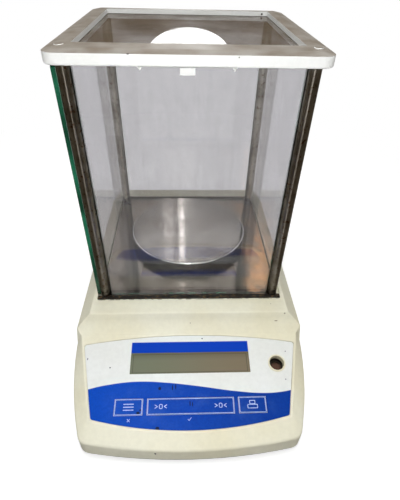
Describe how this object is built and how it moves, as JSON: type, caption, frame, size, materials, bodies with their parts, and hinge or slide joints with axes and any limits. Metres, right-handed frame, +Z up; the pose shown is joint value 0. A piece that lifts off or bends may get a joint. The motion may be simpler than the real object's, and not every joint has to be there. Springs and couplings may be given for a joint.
{
  "type": "precision balance",
  "caption": "Laboratory balance: sloping keypad housing under a glass chamber with sliding doors, steel posts, top frame and round pan.",
  "frame": {"origin": "on the table under the middle of the whole balance", "axes": "+Z up, +Y towards the rear wall, +X towards the bubble level"},
  "size_m": [0.1988, 0.32, 0.267],
  "materials": {
    "cream_plastic": "fine texture, satin",
    "base_plastic": "fine texture",
    "overlay_film": "printed film, semi-gloss",
    "key_film": "printed film, semi-gloss",
    "membrane_film": "clear film",
    "dome_steel": "bright",
    "display_lens": "tinted, glossy",
    "display_glass": "clear",
    "backlight": "diffuser",
    "circuit_board": "solder mask",
    "cable_film": "flat cable",
    "component_black": "moulded",
    "screw_steel": "zinc",
    "level_ring": "cream",
    "level_glass": "green-yellow liquid",
    "air": "bubble",
    "floor_steel": "brushed",
    "seal_rubber": "matt black",
    "post_steel": "polished",
    "white_plastic": "satin",
    "clear_glass": "clear, green edge",
    "pan_steel": "brushed",
    "cast_aluminium": "cast and milled",
    "spring_bronze": "thin strip",
    "magnet_steel": "nickel plated",
    "coil_copper": "enamelled wire",
    "foot_rubber": "matt",
    "foot_plastic": "knurled",
    "port_metal": "tinned steel",
    "jack_plastic": "moulded"
  },
  "bodies": {
    "balance": {"upper_housing": "cream_plastic", "lower_housing": "base_plastic", "keypad_overlay": "overlay_film", "keypad_membrane": "membrane_film", "key_domes": "dome_steel", "display_window": "display_lens", "lcd_cell": "display_glass", "lcd_backlight": "backlight", "display_board": "circuit_board", "display_cable": "cable_film", "main_board": "circuit_board", "board_components": "component_black", "board_screws": "screw_steel", "level_bezel": "level_ring", "level_vial": "level_glass", "level_bubble": "air", "chamber_floor": "floor_steel", "floor_seal_front": "seal_rubber", "floor_seal_rear": "seal_rubber", "post_front_left": "post_steel", "post_front_right": "post_steel", "post_rear_left": "post_steel", "post_rear_right": "post_steel", "post_nuts": "screw_steel", "frame_caps": "white_plastic", "top_frame": "white_plastic", "front_glass": "clear_glass", "rear_glass": "clear_glass", "front_glass_clip": "white_plastic", "cell_base": "cast_aluminium", "cell_guides": "spring_bronze", "lever_pivot": "screw_steel", "magnet_pot": "magnet_steel", "magnet_core": "magnet_steel", "position_sensor": "component_black", "overload_screw": "screw_steel", "cell_screws": "screw_steel", "front_feet": "foot_rubber", "housing_screws": "screw_steel", "power_jack": "jack_plastic", "serial_port": "port_metal", "jackscrews": "port_metal", "hook_cover_screw": "screw_steel"},
    "left_door": {"left_door": "clear_glass"},
    "right_door": {"right_door": "clear_glass"},
    "top_door": {"top_door": "clear_glass"},
    "pan_carrier": {"pan_support": "cast_aluminium", "pan_bumpers": "foot_rubber", "load_receiver": "cast_aluminium"},
    "pan": {"weighing_pan": "pan_steel"},
    "lever": {"cell_lever": "cast_aluminium", "force_coil": "coil_copper"},
    "menu_key": {"menu_key": "key_film"},
    "zero_key": {"zero_key": "key_film"},
    "print_key": {"print_key": "key_film"},
    "left_pad": {"left_foot_pad": "foot_rubber"},
    "right_pad": {"right_foot_pad": "foot_rubber"},
    "left_wheel": {"left_foot_wheel": "foot_plastic"},
    "right_wheel": {"right_foot_wheel": "foot_plastic"},
    "hook_cover": {"hook_cover": "base_plastic"}
  },
  "joints": [
    {"name": "left_door_slide", "type": "slide", "parent": "balance", "child": "left_door", "axis": [0, 1, 0], "range_m": [0, 0.14]},
    {"name": "right_door_slide", "type": "slide", "parent": "balance", "child": "right_door", "axis": [0, 1, 0], "range_m": [-0.0125, 0.1275]},
    {"name": "top_door_slide", "type": "slide", "parent": "balance", "child": "top_door", "axis": [0, 1, 0], "range_m": [0, 0.135]},
    {"name": "pan_travel", "type": "slide", "parent": "balance", "child": "pan_carrier", "axis": [0, 0, 1], "range_m": [-0.0005, 0], "stiffness_N_per_m": 20000, "springref_m": 0.0002},
    {"name": "pan_lift", "type": "slide", "parent": "pan_carrier", "child": "pan", "axis": [0, 0, 1], "range_m": [0, 0.04]},
    {"name": "lever_tilt", "type": "hinge", "parent": "balance", "child": "lever", "pos_m": [0, 0.068, 0.04], "axis": [1, 0, 0], "range_deg": [0, 2.6]},
    {"name": "menu_key_press", "type": "slide", "parent": "balance", "child": "menu_key", "axis": [0, 0.2334, -0.9724], "range_m": [0, 0.0005], "stiffness_N_per_m": 2500},
    {"name": "zero_key_press", "type": "slide", "parent": "balance", "child": "zero_key", "axis": [0, 0.2334, -0.9724], "range_m": [0, 0.0005], "stiffness_N_per_m": 2500},
    {"name": "print_key_press", "type": "slide", "parent": "balance", "child": "print_key", "axis": [0, 0.2334, -0.9724], "range_m": [0, 0.0005], "stiffness_N_per_m": 2500},
    {"name": "left_foot_extend", "type": "slide", "parent": "balance", "child": "left_pad", "axis": [0, 0, -1], "range_m": [0, 0.005]},
    {"name": "left_foot_turn", "type": "hinge", "parent": "left_pad", "child": "left_wheel", "pos_m": [-0.072, 0.132, 0], "axis": [0, 0, -1], "range_deg": [0, 1441]},
    {"name": "right_foot_extend", "type": "slide", "parent": "balance", "child": "right_pad", "axis": [0, 0, -1], "range_m": [0, 0.005]},
    {"name": "right_foot_turn", "type": "hinge", "parent": "right_pad", "child": "right_wheel", "pos_m": [0.072, 0.132, 0], "axis": [0, 0, -1], "range_deg": [0, 1441]},
    {"name": "hook_cover_swing", "type": "hinge", "parent": "balance", "child": "hook_cover", "pos_m": [0.0175, 0.0535, 0.005], "axis": [0, 0, 1], "range_deg": [0, 110]}
  ],
  "couplings": [
    {"joint": "lever_tilt", "follows": "pan_travel", "rad_per_m": -86.96},
    {"joint": "left_foot_turn", "follows": "left_foot_extend", "rad_per_m": 5026.6},
    {"joint": "right_foot_turn", "follows": "right_foot_extend", "rad_per_m": 5026.6}
  ]
}
